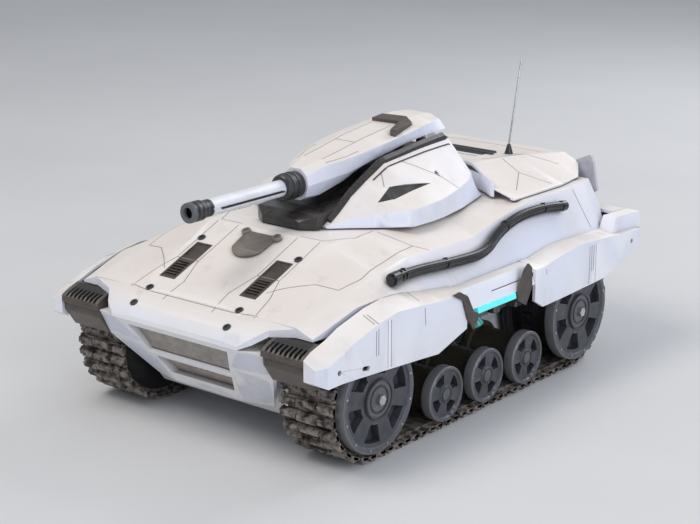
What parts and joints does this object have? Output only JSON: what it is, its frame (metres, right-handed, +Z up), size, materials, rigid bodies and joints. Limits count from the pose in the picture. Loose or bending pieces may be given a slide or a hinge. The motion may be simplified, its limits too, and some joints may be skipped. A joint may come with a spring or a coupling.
{
  "type": "radio controlled tank",
  "caption": "White faceted toy tank with wide tracks, open disc wheels on swing arms, a wedge turret with an elevating gun, and a whip antenna.",
  "frame": {"origin": "on the ground, midway along and across the vehicle", "axes": "+Z up, the front and the gun face -Y, +X is the vehicle's left"},
  "size_m": [0.2732, 0.4215, 0.2375],
  "materials": {
    "white_shell": "satin white moulded shell with grey panel lines",
    "dark_trim": "matt dark brown-grey trim",
    "black_plastic": "matt black",
    "hose_black": "glossy black hose",
    "wheel_grey": "blue-grey painted wheels",
    "track_rubber": "dusty dark brown-grey track",
    "steel": "bright steel",
    "cyan_light": "translucent cyan light strip",
    "teal_lens": "teal lens",
    "glass_dark": "dark smoked window",
    "tail_grey": "grey plate",
    "nose_grey": "beige-grey grille",
    "circuit": "green circuit board",
    "battery_blue": "blue battery wrap",
    "motor_steel": "plated motor can",
    "gear_nylon": "natural nylon gears"
  },
  "bodies": {
    "hull": {"antenna_base": "black_plastic", "antenna_whip": "steel", "battery": "battery_blue", "battery_cover": "white_shell", "control_board": "circuit", "glacis_pad": "dark_trim", "glacis_vents": "dark_trim", "headlights": "dark_trim", "hull_caps": "dark_trim", "idler_axles": "steel", "left_front_fender": "white_shell", "left_rear_fender": "white_shell", "left_track_links": "track_rubber", "light_strips": "cyan_light", "lower_hull": "white_shell", "motors": "motor_steel", "nose_frame": "white_shell", "nose_grille": "nose_grey", "rear_deck": "white_shell", "right_front_fender": "white_shell", "right_rear_fender": "white_shell", "right_track_links": "track_rubber", "shell_screws": "steel", "side_hoses": "hose_black", "side_lamps": "teal_lens", "side_panels": "white_shell", "side_struts": "dark_trim", "tail_plates": "tail_grey", "track_belts": "track_rubber", "upper_hull": "white_shell"},
    "turret": {"turret_shell": "white_shell", "turret_windows": "glass_dark", "turret_ring": "gear_nylon", "gun_trough": "dark_trim"},
    "gun_cradle": {"gun_hood": "white_shell", "barrel_collar": "dark_trim", "roof_sight": "dark_trim"},
    "barrel": {"gun_barrel": "white_shell"},
    "traverse_drive": {"traverse_pinion": "gear_nylon"},
    "switch": {"power_switch": "black_plastic"},
    "left_drive": {"left_drive_wheel": "wheel_grey", "left_drive_axle": "steel"},
    "left_idler": {"left_idler_wheel": "wheel_grey"},
    "left_motor_drive": {"left_motor_pinion": "gear_nylon"},
    "left_swing_1": {"left_arm_1": "black_plastic"},
    "left_road_1": {"left_road_wheel_1": "wheel_grey"},
    "left_swing_2": {"left_arm_2": "black_plastic"},
    "left_road_2": {"left_road_wheel_2": "wheel_grey"},
    "left_swing_3": {"left_arm_3": "black_plastic"},
    "left_road_3": {"left_road_wheel_3": "wheel_grey"},
    "right_drive": {"right_drive_wheel": "wheel_grey", "right_drive_axle": "steel"},
    "right_idler": {"right_idler_wheel": "wheel_grey"},
    "right_motor_drive": {"right_motor_pinion": "gear_nylon"},
    "right_swing_1": {"right_arm_1": "black_plastic"},
    "right_road_1": {"right_road_wheel_1": "wheel_grey"},
    "right_swing_2": {"right_arm_2": "black_plastic"},
    "right_road_2": {"right_road_wheel_2": "wheel_grey"},
    "right_swing_3": {"right_arm_3": "black_plastic"},
    "right_road_3": {"right_road_wheel_3": "wheel_grey"}
  },
  "joints": [
    {"name": "turret_traverse", "type": "hinge", "parent": "hull", "child": "turret", "pos_m": [0, -0.005, 0.14], "axis": [0, 0, 1], "range_deg": [-150, 150]},
    {"name": "gun_elevation", "type": "hinge", "parent": "turret", "child": "gun_cradle", "pos_m": [0, 0.062, 0.186], "axis": [-1, 0, 0], "range_deg": [0, 12]},
    {"name": "barrel_recoil", "type": "slide", "parent": "gun_cradle", "child": "barrel", "axis": [0, 1, 0], "range_m": [0, 0.006]},
    {"name": "traverse_motor_spin", "type": "hinge", "parent": "hull", "child": "traverse_drive", "pos_m": [0, 0.031, 0.12], "axis": [0, 0, 1], "range_deg": [-760, 760]},
    {"name": "switch_slide", "type": "slide", "parent": "hull", "child": "switch", "axis": [0, 1, 0], "range_m": [0, 0.004]},
    {"name": "left_drive_spin", "type": "hinge", "parent": "hull", "child": "left_drive", "pos_m": [0.1, 0.1205, 0.047], "axis": [1, 0, 0], "continuous": true},
    {"name": "left_idler_spin", "type": "hinge", "parent": "hull", "child": "left_idler", "pos_m": [0.1, -0.1405, 0.047], "axis": [1, 0, 0], "continuous": true},
    {"name": "left_motor_spin", "type": "hinge", "parent": "hull", "child": "left_motor_drive", "pos_m": [0.06, 0.0965, 0.047], "axis": [1, 0, 0], "continuous": true},
    {"name": "left_arm_1_swing", "type": "hinge", "parent": "hull", "child": "left_swing_1", "pos_m": [0.076, -0.0828, 0.04], "axis": [1, 0, 0], "range_deg": [0, 12], "stiffness_Nm_per_rad": 0.3},
    {"name": "left_road_1_spin", "type": "hinge", "parent": "left_swing_1", "child": "left_road_1", "pos_m": [0.1, -0.0608, 0.028], "axis": [1, 0, 0], "continuous": true},
    {"name": "left_arm_2_swing", "type": "hinge", "parent": "hull", "child": "left_swing_2", "pos_m": [0.076, -0.0302, 0.04], "axis": [1, 0, 0], "range_deg": [0, 12], "stiffness_Nm_per_rad": 0.3},
    {"name": "left_road_2_spin", "type": "hinge", "parent": "left_swing_2", "child": "left_road_2", "pos_m": [0.1, -0.0082, 0.028], "axis": [1, 0, 0], "continuous": true},
    {"name": "left_arm_3_swing", "type": "hinge", "parent": "hull", "child": "left_swing_3", "pos_m": [0.076, 0.0233, 0.04], "axis": [1, 0, 0], "range_deg": [0, 12], "stiffness_Nm_per_rad": 0.3},
    {"name": "left_road_3_spin", "type": "hinge", "parent": "left_swing_3", "child": "left_road_3", "pos_m": [0.1, 0.0453, 0.028], "axis": [1, 0, 0], "continuous": true},
    {"name": "right_drive_spin", "type": "hinge", "parent": "hull", "child": "right_drive", "pos_m": [-0.1, 0.1205, 0.047], "axis": [1, 0, 0], "continuous": true},
    {"name": "right_idler_spin", "type": "hinge", "parent": "hull", "child": "right_idler", "pos_m": [-0.1, -0.1405, 0.047], "axis": [1, 0, 0], "continuous": true},
    {"name": "right_motor_spin", "type": "hinge", "parent": "hull", "child": "right_motor_drive", "pos_m": [-0.06, 0.0965, 0.047], "axis": [1, 0, 0], "continuous": true},
    {"name": "right_arm_1_swing", "type": "hinge", "parent": "hull", "child": "right_swing_1", "pos_m": [-0.076, -0.0828, 0.04], "axis": [1, 0, 0], "range_deg": [0, 12], "stiffness_Nm_per_rad": 0.3},
    {"name": "right_road_1_spin", "type": "hinge", "parent": "right_swing_1", "child": "right_road_1", "pos_m": [-0.1, -0.0608, 0.028], "axis": [1, 0, 0], "continuous": true},
    {"name": "right_arm_2_swing", "type": "hinge", "parent": "hull", "child": "right_swing_2", "pos_m": [-0.076, -0.0302, 0.04], "axis": [1, 0, 0], "range_deg": [0, 12], "stiffness_Nm_per_rad": 0.3},
    {"name": "right_road_2_spin", "type": "hinge", "parent": "right_swing_2", "child": "right_road_2", "pos_m": [-0.1, -0.0082, 0.028], "axis": [1, 0, 0], "continuous": true},
    {"name": "right_arm_3_swing", "type": "hinge", "parent": "hull", "child": "right_swing_3", "pos_m": [-0.076, 0.0233, 0.04], "axis": [1, 0, 0], "range_deg": [0, 12], "stiffness_Nm_per_rad": 0.3},
    {"name": "right_road_3_spin", "type": "hinge", "parent": "right_swing_3", "child": "right_road_3", "pos_m": [-0.1, 0.0453, 0.028], "axis": [1, 0, 0], "continuous": true}
  ],
  "couplings": [
    {"joint": "traverse_motor_spin", "follows": "turret_traverse", "ratio": -5},
    {"joint": "left_idler_spin", "follows": "left_drive_spin", "ratio": 1},
    {"joint": "left_motor_spin", "follows": "left_drive_spin", "ratio": -3},
    {"joint": "left_road_1_spin", "follows": "left_drive_spin", "ratio": 1.9},
    {"joint": "left_road_2_spin", "follows": "left_drive_spin", "ratio": 1.9},
    {"joint": "left_road_3_spin", "follows": "left_drive_spin", "ratio": 1.9},
    {"joint": "right_idler_spin", "follows": "right_drive_spin", "ratio": 1},
    {"joint": "right_motor_spin", "follows": "right_drive_spin", "ratio": -3},
    {"joint": "right_road_1_spin", "follows": "right_drive_spin", "ratio": 1.9},
    {"joint": "right_road_2_spin", "follows": "right_drive_spin", "ratio": 1.9},
    {"joint": "right_road_3_spin", "follows": "right_drive_spin", "ratio": 1.9}
  ]
}
